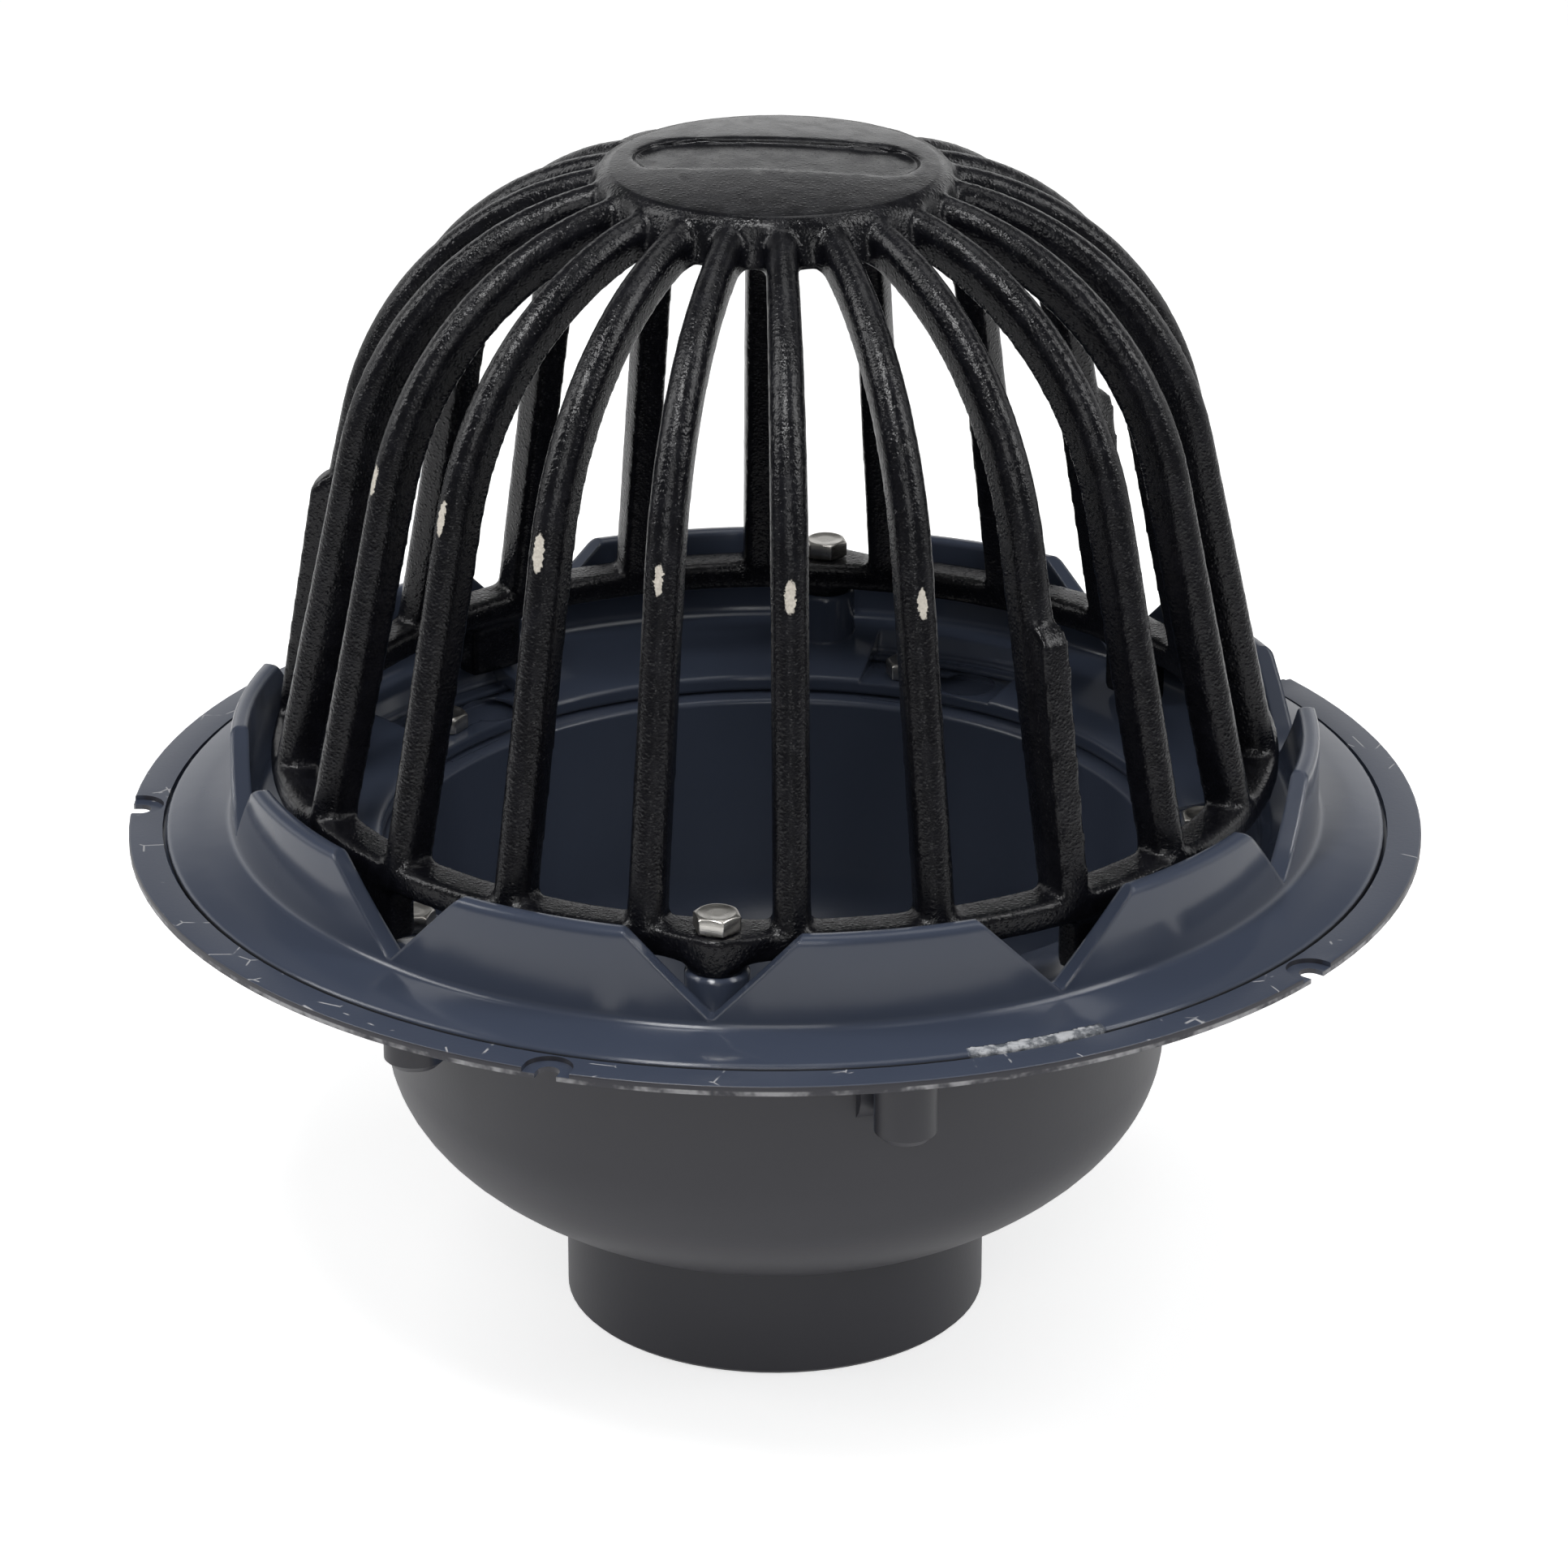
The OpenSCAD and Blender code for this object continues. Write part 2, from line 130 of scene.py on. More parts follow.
class Tree:
    """A node tree that is filled with short calls."""

    def __init__(self, nodes):
        self.nodes = nodes.nodes
        self.links = nodes.links

    def add(self, kind, settings=None, inputs=None):
        """Adds a node, sets its properties, and then feeds its sockets."""
        node = self.nodes.new(kind)
        for name, value in (settings or {}).items():
            setattr(node, name, value)
        for key, value in (inputs or {}).items():
            if isinstance(value, Value):
                value = value.socket
            if isinstance(value, bpy.types.NodeSocket):
                self.links.new(value, node.inputs[key])
            else:
                node.inputs[key].default_value = value
        return node

    def value(self, node, output=0):
        """A node's output as a number to reckon with."""
        return Value(self, node.outputs[output])

    def math(self, operation, *values):
        node = self.add("ShaderNodeMath", {"operation": operation}, dict(enumerate(values)))
        return self.value(node)

    def vector(self, operation, *values, output="Vector"):
        node = self.add("ShaderNodeVectorMath", {"operation": operation}, dict(enumerate(values)))
        return node.outputs[output]

    def smooth(self, value, low, high):
        """0 below low, 1 above high and a soft step between them."""
        inputs = {"Value": value, "From Min": low, "From Max": high}
        return self.value(self.add("ShaderNodeMapRange", {"interpolation_type": "SMOOTHSTEP"}, inputs))

    def spread(self, value, low, high):
        """Stretches a number between 0 and 1 over a range."""
        return value * (high - low) + low

    def noise(self, vector, scale, detail=2.0, roughness=0.5, output=0):
        inputs = {"Vector": vector, "Scale": scale, "Detail": detail, "Roughness": roughness}
        return self.value(self.add("ShaderNodeTexNoise", {}, inputs), output)

    def cells(self, vector, scale, feature="F1"):
        inputs = {"Vector": vector, "Scale": scale}
        return self.value(self.add("ShaderNodeTexVoronoi", {"feature": feature}, inputs))

    def mapped(self, vector, scale=(1, 1, 1), turn=(0, 0, 0), move=(0, 0, 0), kind="POINT"):
        inputs = {"Vector": vector, "Location": move, "Rotation": turn, "Scale": scale}
        return self.add("ShaderNodeMapping", {"vector_type": kind}, inputs).outputs[0]

    def colour(self, mask, low, high):
        """A colour between two others."""
        inputs = {0: mask, 6: low, 7: high}
        return self.add("ShaderNodeMix", {"data_type": "RGBA"}, inputs).outputs[2]

    def split(self, vector):
        node = self.add("ShaderNodeSeparateXYZ", {}, {0: vector})
        return [self.value(node, axis) for axis in range(3)]

    def bump(self, height, distance, normal=None):
        inputs = {"Height": height, "Distance": distance}
        if normal is not None:
            inputs["Normal"] = normal
        return self.add("ShaderNodeBump", {}, inputs).outputs[0]

    def round_edges(self, radius):
        """A normal that rolls over the edges of a moulding."""
        return self.add("ShaderNodeBevel", {"samples": 4}, {"Radius": radius}).outputs[0]

    def top_of(self, *values):
        """The largest of some numbers."""
        largest = values[0]
        for value in values[1:]:
            largest = self.math("MAXIMUM", largest, value)
        return largest

    def band(self, value, low, high, edge):
        """1 between low and high, with soft edges."""
        above = self.smooth(value, low - edge, low + edge)
        return above * (1 - self.smooth(value, high - edge, high + edge))


def opaque(colour):
    return (*colour, 1.0)


def shades(colour, *factors):
    """Darker or lighter copies of a colour."""
    return [opaque([channel * factor for channel in colour]) for factor in factors]


def surface(name, build):
    """A material with one glossy shader, whose sockets the function build fills."""
    material = bpy.data.materials.new(name)
    material.use_nodes = True
    material.node_tree.nodes.clear()
    tree = Tree(material.node_tree)
    position = tree.add("ShaderNodeTexCoord").outputs["Object"]
    shader = tree.add("ShaderNodeBsdfPrincipled", {}, build(tree, position))
    tree.add("ShaderNodeOutputMaterial", {}, {"Surface": shader.outputs[0]})
    return material


def from_axis(tree, position):
    """Distance from the drain's axis, and height."""
    x, y, z = tree.split(position)
    return tree.math("SQRT", x * x + y * y), z


# ---------------------------------------------------------------- finishes

def chipped_paint(tree, position, chips):
    """Mask of the places where the black coat is knocked off the ribs."""
    ragged = tree.noise(position, 900, 3, 0.7, output=1).socket
    shift = tree.vector("SCALE", tree.vector("SUBTRACT", ragged, (0.5, 0.5, 0.5)))
    shift.node.inputs["Scale"].default_value = 2.6 * MM
    torn = tree.vector("ADD", position, shift)
    masks = []
    for point, angle, half_w, half_h in chips:
        local = tree.mapped(torn, (half_w, 4 * MM, half_h), (0, 0, angle), point, "TEXTURE")
        reach = Value(tree, tree.vector("LENGTH", local, output="Value"))
        masks.append(1 - tree.smooth(reach, 0.82, 0.98))
    return tree.top_of(*masks)


def plate_edge(tree, position):
    """0 on the floor of the cap's blank recess and 1 round it, with a crisp step between."""
    x, y, z = tree.split(position)
    beyond = tree.math("MAXIMUM", tree.math("ABSOLUTE", x) - (PLATE_LENGTH - PLATE_WIDTH) / 2, 0.0)
    across = y - PLATE_SHIFT
    reach = tree.math("SQRT", beyond * beyond + across * across) - PLATE_WIDTH / 2
    return tree.smooth(reach, -0.8 * MM, 0.3 * MM)


def cast_black(look, chips):
    """Sand-cast iron dipped in black: pimpled and glossy on the ribs, duller on the cap."""
    def build(tree, position):
        grain = tree.noise(position, 1400, 3, 0.6)
        lumps = tree.noise(position, 170, 3, 0.5)
        pimples = 1 - tree.smooth(tree.cells(position, 760), 0.08, 0.5)
        pits = 1 - tree.smooth(tree.cells(position, 380), 0.05, 0.2)
        radius, height = from_axis(tree, position)
        top = tree.smooth(height, DOME_TOP - 8 * MM, DOME_TOP - 5 * MM)
        cap = (1 - tree.smooth(radius, CAP_R - 4 * MM, CAP_R - 1 * MM)) * top
        skin = grain * 0.9 + pimples * 0.5 + lumps * 0.35 - pits * 0.5
        relief = skin * (1 - cap * 0.68) + plate_edge(tree, position) * cap * 6
        worn = chipped_paint(tree, position, chips)
        patches = tree.smooth(lumps, 0.4, 0.66)
        dull = look.cast_roughness
        gloss = tree.spread(patches, dull - 0.03, dull + 0.05) + cap * 0.05
        tone = tree.colour(patches, *shades(look.cast_colour, 1, 1.5))
        bare = tree.colour(grain, opaque((0.36, 0.32, 0.27)), opaque((0.80, 0.76, 0.68)))
        return {
            "Base Color": tree.colour(worn, tone, bare),
            "Roughness": gloss * (1 - worn) + worn * 0.8,
            "Specular IOR Level": look.cast_shine,
            "Normal": tree.bump(relief, 0.15 * MM),
        }
    return surface("cast_black", build)


def moulded_body(look):
    """Grey plastic: glossy slate on the flange and in the sump, satin under the flange."""
    def build(tree, position):
        radius, height = from_axis(tree, position)
        x, y, z = tree.split(position)
        facing = tree.split(tree.add("ShaderNodeTexCoord").outputs["Normal"])
        outwards = (facing[0] * x + facing[1] * y) / radius - facing[2]
        under = tree.smooth(outwards, -0.1, 0.12)
        rim = tree.smooth(radius, RIM_IN_R - 1.5 * MM, RIM_IN_R + 0.5 * MM) * (1 - under)
        cracks = tree.cells(tree.mapped(position, (1, 1, 0.3)), 74, "DISTANCE_TO_EDGE")
        hair = 1 - tree.smooth(cracks, 0.008, 0.02)
        patch = tree.smooth(tree.noise(position, 105, 2), 0.57, 0.63)
        outmost = tree.smooth(radius, RIM_OUT_R - 0.5 * MM, RIM_OUT_R - 0.2 * MM)
        lip = tree.band(height, FLANGE_Z - RIM_T, FLANGE_Z - 1.4 * MM, 0.2 * MM) * outmost
        chalk = tree.smooth(tree.noise(position, 60, 4, 0.7), 0.42, 0.6)
        scuff = tree.top_of(hair * rim * patch, lip * chalk)
        fine = tree.noise(position, 900, 2)
        cloudy = tree.noise(position, 30, 3)
        top = tree.colour(cloudy, *shades(look.slate_colour, 0.94, 1.06))
        base = tree.colour(under, top, opaque(look.body_colour))
        shine = tree.spread(cloudy, look.slate_roughness - 0.03, look.slate_roughness + 0.04)
        return {
            "Base Color": tree.colour(scuff * 0.75, base, opaque((0.42, 0.42, 0.43))),
            "Roughness": shine + under * (look.body_roughness - look.slate_roughness) + scuff * 0.2,
            "Specular IOR Level": 0.5,
            "Normal": tree.bump(fine * 0.4 - scuff, 0.05 * MM),
        }
    return surface("moulded_body", build)


def moulded_collar(look):
    """Glossy slate plastic with a faint orange peel and a rough scar where its gate was cut off."""
    def build(tree, position):
        radius, height = from_axis(tree, position)
        x, y, z = tree.split(position)
        angle = tree.math("ARCTAN2", x, y * -1)
        ragged = tree.noise(position, 320, 3, 0.6)
        edge = radius + (ragged - 0.5) * 2.4 * MM
        first, last = GATE_SPAN
        trimmed = tree.smooth(edge, COLLAR_R - 3.1 * MM, COLLAR_R - 2.7 * MM)
        scar = tree.band(angle, first, last, 0.004) * trimmed
        peel = tree.noise(position, 95, 2)
        cloudy = tree.noise(position, 28, 3)
        base = tree.colour(cloudy, *shades(look.slate_colour, 0.95, 1.05))
        torn = tree.smooth(ragged, 0.4, 0.62)
        chalk = tree.colour(torn, opaque((0.09, 0.1, 0.115)), opaque((0.42, 0.43, 0.45)))
        # painted shade: the collar's lower outer edge, over the gap to the flange, turns near black and
        # duller to stand in for the shadow in that gap
        outer = tree.smooth(radius, COLLAR_R - 0.9 * MM, COLLAR_R - 0.3 * MM)
        painted_gap_shade = outer * (1 - tree.smooth(height, FLANGE_Z - 0.3 * MM, FLANGE_Z + 0.2 * MM)) * (1 - scar)
        grooves = tree.noise(tree.mapped(position, (180, 900, 500)), 1.0, 3)
        return {
            "Base Color": tree.colour(
                painted_gap_shade * 0.9, tree.colour(scar, base, chalk), opaque((0.004, 0.004, 0.005))),
            "Roughness": look.collar_roughness + cloudy * 0.03 + scar * 0.25 + painted_gap_shade * 0.5,
            "Specular IOR Level": 0.5,
            "Normal": tree.bump(
                peel * 0.05 + scar * (grooves + ragged), 0.6 * MM, tree.round_edges(EDGE_ROLL)),
        }
    return surface("moulded_collar", build)


def plain_metal(name, colour, roughness, grain):
    """Bare metal with fine tooling marks."""
    def build(tree, position):
        marks = tree.noise(tree.mapped(position, (1, 1, 9)), grain, 3)
        stain = tree.noise(position, 260, 3)
        tone = tree.colour(stain, *shades(colour, 0.82, 1))
        return {
            "Base Color": tone,
            "Metallic": 1.0,
            "Roughness": tree.spread(marks, roughness - 0.06, roughness + 0.1),
            "Normal": tree.bump(marks, 0.03 * MM),
        }
    return surface(name, build)


# ---------------------------------------------------------------- meshes

def new_piece(name, mesh, material, slot, *nodes):
    """Links a finished mesh, paints it, and has it stand for CAD nodes."""
    piece = bpy.data.objects.new(name, mesh)
    bpy.context.scene.collection.objects.link(piece)
    mesh.materials.clear()
    mesh.materials.append(material)
    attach(piece, BODY)
    if nodes:
        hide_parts(*nodes)
    return piece


def welded(node):
    """A copy of a CAD node's mesh with shared corners, smooth except at its real edges."""
    form = bmesh.new()
    form.from_mesh(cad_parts[node].data)
    bmesh.ops.remove_doubles(form, verts=form.verts, dist=1e-6)
    bmesh.ops.dissolve_degenerate(form, edges=form.edges, dist=1e-7)
    for face in form.faces:
        face.smooth = True
    limit = math.radians(SHARP_DEGREES)
    for edge in form.edges:
        edge.smooth = not (edge.is_manifold and edge.calc_face_angle(0) > limit)
    mesh = bpy.data.meshes.new(node + "_welded")
    form.to_mesh(mesh)
    form.free()
    return mesh


def thinned(mesh, most):
    """The mesh with at most this many triangles."""
    triangles = sum(len(face.vertices) - 2 for face in mesh.polygons)
    source = bpy.data.objects.new("thinned_source", mesh)
    bpy.context.scene.collection.objects.link(source)
    fewer = source.modifiers.new("fewer", "DECIMATE")
    fewer.ratio = min(1.0, most / triangles)
    return evaluated(source)


def lathed(mesh, profile, sectors):
    """Adds a closed profile of radius and height, turned about the axis, to a mesh."""
    form = bmesh.new()
    form.from_mesh(mesh)
    rings = []
    for i in range(sectors):
        away = outward(math.tau * i / sectors)
        rings.append([form.verts.new(away * r + Vector((0, 0, z))) for r, z in profile])
    for i in range(sectors):
        near, far = rings[i], rings[(i + 1) % sectors]
        for j in range(len(profile)):
            k = (j + 1) % len(profile)
            form.faces.new((near[j], far[j], far[k], near[k]))
    bmesh.ops.recalc_face_normals(form, faces=form.faces[-sectors * len(profile):])
    form.to_mesh(mesh)
    form.free()


def evaluated(source):
    """The mesh that an object's modifiers make, with the object itself taken away."""
    graph = bpy.context.evaluated_depsgraph_get()
    mesh = bpy.data.meshes.new_from_object(source.evaluated_get(graph), depsgraph=graph)
    source.modifiers.clear()
    bpy.data.objects.remove(source)
    return mesh


def nodes_modifier(source, tree, **values):
    """Puts a geometry node tree on an object and sets its named inputs."""
    modifier = source.modifiers.new(tree.name, "NODES")
    modifier.node_group = tree
    for item in tree.interface.items_tree:
        if item.item_type == "SOCKET" and item.in_out == "INPUT" and item.name in values:
            modifier[item.identifier] = values[item.name]
    return modifier


def geometry_tree(name, **inputs):
    """A geometry node tree with a mesh in, a mesh out and named inputs."""
    group = bpy.data.node_groups.new(name, "GeometryNodeTree")
    group.interface.new_socket("Geometry", in_out="INPUT", socket_type="NodeSocketGeometry")
    for label, kind in inputs.items():
        group.interface.new_socket(label, in_out="INPUT", socket_type=kind)
    group.interface.new_socket("Geometry", in_out="OUTPUT", socket_type="NodeSocketGeometry")
    tree = Tree(group)
    return group, tree, tree.add("NodeGroupInput").outputs


def finish_tree(tree, geometry, material):
    """Ends a geometry tree the way that an export needs."""
    real = tree.add("GeometryNodeRealizeInstances", {}, {0: geometry}).outputs[0]
    painted = tree.add("GeometryNodeSetMaterial", {}, {"Geometry": real, "Material": material})
    tree.add("NodeGroupOutput", {}, {0: painted.outputs[0]})


def cast_skin_tree():
    """Pushes a mesh in and out by noise, as sand leaves a casting."""
    group, tree, given = geometry_tree(
        "cast_skin", Material="NodeSocketMaterial", Depth="NodeSocketFloat", Scale="NodeSocketFloat")
    place = tree.add("GeometryNodeInputPosition").outputs[0]
    normal = tree.add("GeometryNodeInputNormal").outputs[0]
    coarse = tree.add(
        "ShaderNodeTexNoise", {}, {"Vector": place, "Scale": given["Scale"], "Detail": 4.0})
    push = (tree.value(coarse) - 0.5) * Value(tree, given["Depth"])
    offset = tree.add("ShaderNodeVectorMath", {"operation": "SCALE"}, {0: normal, "Scale": push})
    moved = tree.add("GeometryNodeSetPosition", {}, {"Geometry": given[0], "Offset": offset.outputs[0]})
    smooth = tree.add("GeometryNodeSetShadeSmooth", {}, {0: moved.outputs[0]})
    finish_tree(tree, smooth.outputs[0], given["Material"])
    return group


def ring_tree():
    """Sets copies of a fastener round the drain's axis."""
    group, tree, given = geometry_tree(
        "fastener_ring", Material="NodeSocketMaterial", Count="NodeSocketInt", Radius="NodeSocketFloat",
        First="NodeSocketFloat", Height="NodeSocketFloat", Turn="NodeSocketFloat")
    starts = tree.add(
        "GeometryNodeMeshLine", {"mode": "OFFSET"}, {"Count": given["Count"], "Offset": (0, 0, 0)})
    index = tree.value(tree.add("GeometryNodeInputIndex"))
    step = tree.math("DIVIDE", math.tau, Value(tree, given["Count"]))
    angle = index * step + Value(tree, given["First"])
    radius = Value(tree, given["Radius"])
    place = tree.add("ShaderNodeCombineXYZ", {}, {
        "X": tree.math("SINE", angle) * radius,
        "Y": tree.math("COSINE", angle) * radius * -1,
        "Z": given["Height"]}).outputs[0]
    points = tree.add("GeometryNodeSetPosition", {}, {"Geometry": starts.outputs[0], "Position": place})
    spin = tree.add("ShaderNodeCombineXYZ", {}, {"Z": angle + Value(tree, given["Turn"])}).outputs[0]
    copies = tree.add("GeometryNodeInstanceOnPoints", {}, {
        "Points": points.outputs[0], "Instance": given[0], "Rotation": spin})
    finish_tree(tree, copies.outputs[0], given["Material"])
    return group


def hex_bolt_mesh(across_flats, head_height, shank_d, shank_length):
    """A hex bolt, its seat at z = 0: domed chamfer, washer face, and a threaded shank."""
    sectors = 96
    crown_r = across_flats / 2 * 0.93
    washer_r = across_flats / 2 * 0.94
    washer_t = 0.35 * MM
    # depth of the round dish in the top of the head
    dish = 0.14 * MM
    slope = math.tan(math.radians(28))
    pitch = 1.27 * MM
    thread_depth = 0.62 * MM
    rows_per_turn = 8
    form = bmesh.new()

    def flat_radius(angle):
        turned = (angle + math.pi / 6) % (math.pi / 3) - math.pi / 6
        return across_flats / 2 / math.cos(turned) - 0.12 * MM

    def loop(radius, height):
        verts = []
        for i in range(sectors):
            a = math.tau * i / sectors
            r = radius(a)
            verts.append(form.verts.new((r * math.cos(a), r * math.sin(a), height(a))))
        return verts

    def level(r, z):
        return loop(lambda a: r, lambda a: z)

    def edge_z(a):
        return head_height - max(0, flat_radius(a) - crown_r) * slope

    # the thread starts a little above the tip, and its bare neck is as wide as its crests
    shank_r = shank_d / 2
    crest_r = shank_r - 0.02 * MM
    rows = [level(shank_r - 0.8 * MM, -shank_length)]
    steps = int(shank_length / pitch * rows_per_turn)
    for i in range(steps):
        z = -shank_length + 0.5 * MM + (shank_length - 1.5 * MM) * i / (steps - 1)

        def thread(a, z=z):
            wave = abs(((z / pitch - a / math.tau) % 1) * 2 - 1)
            cut = thread_depth * wave * min(1, -z / (3 * MM))
            taper = min(1, (z + shank_length) / (1.2 * MM))
            return crest_r - cut - 0.4 * MM * (1 - taper)
        rows.append(loop(thread, lambda a, z=z: z))
    rows.append(level(crest_r, -0.9 * MM))
    rows.append(level(crest_r, 0))
    rows.append(level(washer_r, 0))
    rows.append(level(washer_r, washer_t))
    rows.append(loop(lambda a: flat_radius(a) - 0.1 * MM, lambda a: washer_t))
    rows.append(loop(flat_radius, lambda a: 0.5 * MM))
    rows.append(loop(flat_radius, lambda a: edge_z(a) - 0.18 * MM))
    rows.append(loop(lambda a: flat_radius(a) - 0.1 * MM, lambda a: edge_z(a)))
    rows.append(level(crown_r, head_height))
    rows.append(level(crown_r - 0.5 * MM, head_height + 0.02 * MM))
    rows.append(level(crown_r - 0.8 * MM, head_height - dish))
    rows.append(level(crown_r * 0.4, head_height - dish))
    for lower, upper in zip(rows, rows[1:]):
        for i in range(sectors):
            j = (i + 1) % sectors
            form.faces.new((lower[i], lower[j], upper[j], upper[i]))
    form.faces.new(list(reversed(rows[0])))
    form.faces.new(rows[-1])
    for face in form.faces:
        face.smooth = True
    for edge in form.edges:
        edge.smooth = edge.calc_face_angle(0) < math.radians(28)
    mesh = bpy.data.meshes.new("hex_bolt")
    form.to_mesh(mesh)
    form.free()
    return mesh


def bolt_set(name, nodes, turn, material, sizes):
    """One piece that holds a ring of bolts and stands for their CAD nodes."""
    low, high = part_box(nodes[0])
    first = centre_of(nodes[0])
    head = sizes.head_height * MM
    mesh = hex_bolt_mesh(sizes.across_flats * MM, head, sizes.bolt_diameter * MM, high.z - low.z - head)
    source = bpy.data.objects.new(name + "_source", mesh)
    bpy.context.scene.collection.objects.link(source)
    nodes_modifier(
        source, ring_tree(), Material=material, Count=len(nodes), Radius=first.xy.length,
        First=azimuth(first), Height=high.z - head, Turn=turn)
    return new_piece(name, evaluated(source), material, "stainless_steel", *nodes)


# ---------------------------------------------------------------- settings

class DrainSizes(bpy.types.PropertyGroup):
    """Sizes of the finish. The lengths are in millimetres."""

    voxel: FloatProperty(
        name="Casting grid", description="Cell size of the casting's mesh", default=1.1)
    casting_faces: IntProperty(
        name="Casting triangles", description="Most triangles in the casting", default=190000)
    skin_depth: FloatProperty(
        name="Skin depth", description="How far the sand moves the surface", default=0.26)
    skin_scale: FloatProperty(
        name="Skin scale", description="Density of the sand's lumps", default=260.0)
    rib_taper: FloatProperty(
        name="Rib taper", description="Width of a rib at the cap, as a share", default=0.82)
    bolt_diameter: FloatProperty(
        name="Bolt diameter", description="Thread diameter of the bolts", default=6.35)
    across_flats: FloatProperty(
        name="Across flats", description="Width of the bolt heads", default=11.1)
    head_height: FloatProperty(
        name="Head height", description="Height of the bolt heads", default=4.8)
    chip_count: IntProperty(
        name="Chips", description="Number of knocked ribs at the front", default=6)


class DrainLook(bpy.types.PropertyGroup):
    """Colours and gloss of the finishes."""

    cast_colour: FloatVectorProperty(
        name="Casting", description="Colour of the dipped iron",
        subtype="COLOR", default=(0.0032, 0.0033, 0.0046))
    cast_roughness: FloatProperty(
        name="Casting roughness", description="Dullness of the dip", default=0.18)
    cast_shine: FloatProperty(
        name="Casting shine", description="Specular level of the dip", default=0.3)
    body_colour: FloatVectorProperty(
        name="Body", description="Colour of the body under the flange",
        subtype="COLOR", default=(0.029, 0.029, 0.037))
    body_roughness: FloatProperty(
        name="Body roughness", description="Dullness under the flange", default=0.42)
    slate_colour: FloatVectorProperty(
        name="Slate", description="Colour of the glossy slate plastic",
        subtype="COLOR", default=(0.043, 0.053, 0.080))
    slate_roughness: FloatProperty(
        name="Slate roughness", description="Dullness of the flange's top", default=0.3)
    collar_roughness: FloatProperty(
        name="Collar roughness", description="Dullness of the collar", default=0.13)
    steel_colour: FloatVectorProperty(
        name="Bolts", description="Colour of the stainless steel",
        subtype="COLOR", default=(0.63, 0.61, 0.57))
    brass_colour: FloatVectorProperty(
        name="Inserts", description="Colour of the brass",
        subtype="COLOR", default=(0.60, 0.43, 0.16))


# ---------------------------------------------------------------- operators

class DrainOperator:
    """What the drain's operators share."""

    bl_options = {"REGISTER", "UNDO"}

    def execute(self, context):
        self.make(context.scene.drain_sizes, context.scene.drain_look)
        return {"FINISHED"}


class DRAIN_OT_body(DrainOperator, bpy.types.Operator):
    """Finish the moulded body with its flange, sump and outlet"""

    bl_idname = "drain.body"
    bl_label = "Drain body"

    def make(self, sizes, look):
        mesh = welded("drain_body")
        new_piece("body_moulding", mesh, moulded_body(look), "body_plastic", "drain_body")


class DRAIN_OT_collar(DrainOperator, bpy.types.Operator):
    """Finish the collar with its notched dam"""

    bl_idname = "drain.collar"
    bl_label = "Dam collar"

    def make(self, sizes, look):
        mesh = welded("dam_collar")
        lathed(mesh, self.pocket_foot(), 32 * CLAMP_COUNT)
        new_piece("collar_moulding", mesh, moulded_collar(look), "collar_plastic", "dam_collar")

    def pocket_foot(self):
        """Fillet under the collar that closes the foot of the pockets' back walls."""
        profile = ((129.2, 5.8), (130.2, 5.8), (131.8, 3.4), (131, 3.25), (130, 5.06), (129.2, 5.06))
        return [(radius * MM, FLANGE_Z - drop * MM) for radius, drop in profile]


